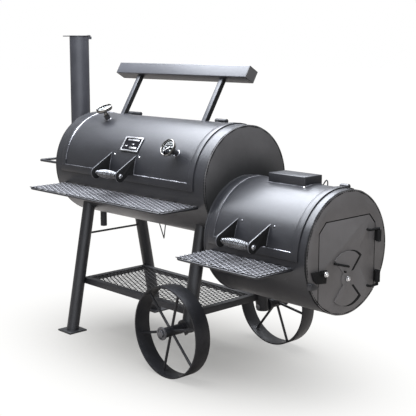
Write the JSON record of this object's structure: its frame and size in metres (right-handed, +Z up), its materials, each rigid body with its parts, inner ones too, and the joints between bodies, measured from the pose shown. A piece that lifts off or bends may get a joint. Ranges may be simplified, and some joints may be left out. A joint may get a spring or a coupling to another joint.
{
  "type": "offset smoker",
  "caption": "Offset smoker: a long cooking barrel with a lower side firebox, counterweighted lid, mesh shelves and a smoke stack on a wheeled pipe stand.",
  "frame": {"origin": "middle of the outer box at ground level, under the cooking barrel", "axes": "+X along the barrel towards the firebox, +Y from the cook's side to the hinge side, +Z up"},
  "size_m": [1.949, 0.852, 1.4766],
  "materials": {
    "pit_black": "satin heat-proof black paint, faint orange peel",
    "frame_black": "satin black paint on pipe and rod",
    "plate_grey": "thin matt heat-proof paint on flat plate",
    "mesh_steel": "worn black paint on expanded steel",
    "grate_steel": "seasoned dark steel",
    "bright_coil": "bright coiled steel wire",
    "axle_steel": "dark oiled steel",
    "gauge_chrome": "polished",
    "dial_enamel": "matt black enamel with white marks",
    "clear_glass": "clear",
    "needle_paint": "matt white",
    "badge_metal": "brushed rim round a dark field"
  },
  "bodies": {
    "stand_and_barrel": {"barrel_shell": "pit_black", "barrel_left_end": "plate_grey", "barrel_firebox_divider": "plate_grey", "firebox_shell": "pit_black", "firebox_end_ring": "plate_grey", "leg_front_left": "frame_black", "leg_rear_left": "frame_black", "leg_front_right": "frame_black", "leg_rear_right": "frame_black", "foot_plates": "frame_black", "leg_tie_rod": "frame_black", "axle_collars": "frame_black", "stub_axles": "axle_steel", "axle_end_caps": "axle_steel", "main_shelf_frame": "frame_black", "main_shelf_mesh": "mesh_steel", "firebox_shelf_frame": "frame_black", "firebox_shelf_mesh": "mesh_steel", "bottom_shelf_frame": "frame_black", "bottom_shelf_mesh": "mesh_steel", "stack_pipe": "pit_black", "stack_elbow": "pit_black", "end_handle": "frame_black", "drain_pipe": "frame_black", "bucket_hook": "frame_black", "cooking_grates": "grate_steel", "grate_rails": "grate_steel", "heat_baffle": "grate_steel", "fire_grate": "grate_steel", "main_hinge_fixed": "pit_black", "firebox_hinge_fixed": "pit_black", "tool_loop": "frame_black", "door_fixed_hinges": "pit_black", "latch_keeper": "pit_black"},
    "main_lid": {"main_lid_shell": "pit_black", "main_lid_straps": "pit_black", "main_hinge_moving": "pit_black", "lid_struts": "pit_black", "counterweight_bar": "pit_black", "main_handle_brackets": "pit_black", "main_handle_grip": "bright_coil", "badge_plate": "badge_metal", "thermometer_sockets": "pit_black", "thermometer_cases": "gauge_chrome", "thermometer_dials": "dial_enamel", "thermometer_lenses": "clear_glass"},
    "left_gauge_needle": {"left_needle": "needle_paint"},
    "right_gauge_needle": {"right_needle": "needle_paint"},
    "firebox_lid": {"firebox_lid_shell": "pit_black", "firebox_lid_straps": "pit_black", "firebox_hinge_moving": "pit_black", "firebox_handle_brackets": "pit_black", "firebox_handle_grip": "bright_coil", "warming_box": "pit_black"},
    "firebox_door": {"firebox_door": "plate_grey"},
    "air_damper": {"air_damper": "plate_grey"},
    "door_latch": {"door_latch": "pit_black"},
    "stack_damper": {"stack_damper": "pit_black"},
    "front_wheel": {"front_wheel": "frame_black"},
    "rear_wheel": {"rear_wheel": "frame_black"}
  },
  "joints": [
    {"name": "main_lid_hinge", "type": "hinge", "parent": "stand_and_barrel", "child": "main_lid", "pos_m": [-0.1745, 0.11566, 1.08184], "axis": [-1, 0, 0], "range_deg": [0, 85]},
    {"name": "firebox_lid_hinge", "type": "hinge", "parent": "stand_and_barrel", "child": "firebox_lid", "pos_m": [0.65, 0.12872, 0.8567], "axis": [-1, 0, 0], "range_deg": [0, 90]},
    {"name": "firebox_door_hinge", "type": "hinge", "parent": "stand_and_barrel", "child": "firebox_door", "pos_m": [0.9565, 0.204, 0.572], "axis": [0, 0, 1], "range_deg": [0, 110]},
    {"name": "air_damper_turn", "type": "hinge", "parent": "firebox_door", "child": "air_damper", "pos_m": [0.9415, 0.018, 0.507], "axis": [1, 0, 0], "range_deg": [0, 90]},
    {"name": "door_latch_turn", "type": "hinge", "parent": "firebox_door", "child": "door_latch", "pos_m": [0.9475, -0.139, 0.554], "axis": [1, 0, 0], "range_deg": [0, 40]},
    {"name": "stack_damper_swing", "type": "hinge", "parent": "stand_and_barrel", "child": "stack_damper", "pos_m": [-0.8435, 0.086, 1.472], "axis": [0, 0, 1], "range_deg": [0, 110]},
    {"name": "left_needle_turn", "type": "hinge", "parent": "main_lid", "child": "left_gauge_needle", "pos_m": [-0.4785, -0.09767, 1.11665], "axis": [0, 0.3907, -0.9205], "range_deg": [0, 250]},
    {"name": "right_needle_turn", "type": "hinge", "parent": "main_lid", "child": "right_gauge_needle", "pos_m": [0.1645, -0.24431, 0.98805], "axis": [0, 0.8616, -0.5075], "range_deg": [0, 250]},
    {"name": "front_wheel_spin", "type": "hinge", "parent": "stand_and_barrel", "child": "front_wheel", "pos_m": [0.2575, -0.314, 0.202], "axis": [0, 1, 0], "continuous": true},
    {"name": "rear_wheel_spin", "type": "hinge", "parent": "stand_and_barrel", "child": "rear_wheel", "pos_m": [0.2575, 0.362, 0.202], "axis": [0, 1, 0], "continuous": true}
  ]
}
